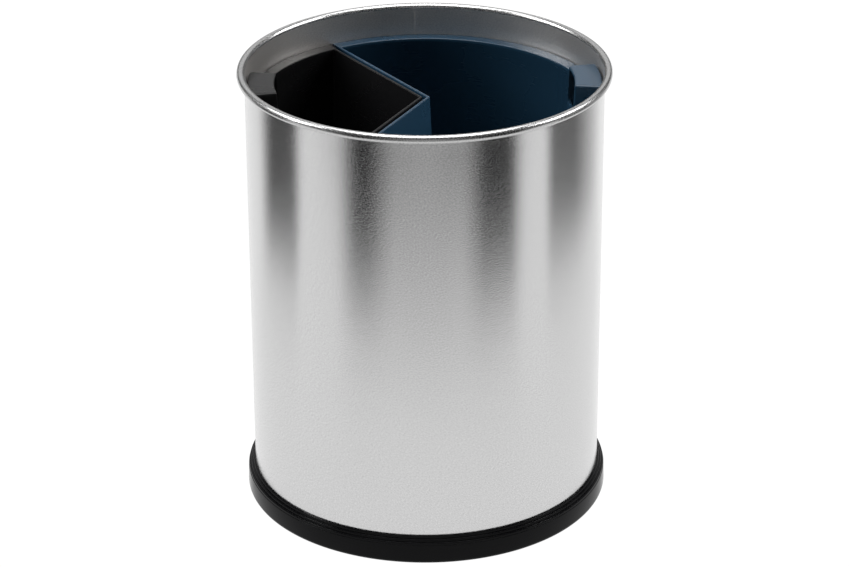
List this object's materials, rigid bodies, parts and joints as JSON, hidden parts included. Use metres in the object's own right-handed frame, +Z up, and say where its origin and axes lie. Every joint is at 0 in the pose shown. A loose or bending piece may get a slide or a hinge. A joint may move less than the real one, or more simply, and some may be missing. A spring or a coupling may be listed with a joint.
{
  "type": "waste sorting bin",
  "caption": "Round steel room bin with a rolled rim, a dark base ring and lift-out liners with hooded grips, for sorting waste.",
  "frame": {"origin": "middle of the footprint, on the floor", "axes": "+Z up along the sleeve's axis; +X through the large liner's grip, -X through the small liner's grip"},
  "size_m": [0.2508, 0.2508, 0.309],
  "materials": {
    "sleeve_steel": "brushed stainless sheet, satin, fine short grain",
    "plate_steel": "plain galvanised sheet, dull",
    "ring_plastic": "black moulded plastic, smooth with a soft shine",
    "blue_plastic": "dark petrol-blue moulded polypropylene, fine satin",
    "black_plastic": "black moulded polypropylene, fine satin"
  },
  "bodies": {
    "shell": {"body_sleeve": "sleeve_steel", "floor_plate": "plate_steel", "base_ring": "ring_plastic"},
    "large_liner": {"blue_liner": "blue_plastic"},
    "small_liner": {"black_liner": "black_plastic"}
  },
  "joints": [
    {"name": "large_liner_lift", "type": "slide", "parent": "shell", "child": "large_liner", "axis": [0, 0, 1], "range_m": [0, 0.32]},
    {"name": "small_liner_lift", "type": "slide", "parent": "shell", "child": "small_liner", "axis": [0, 0, 1], "range_m": [0, 0.32]}
  ]
}
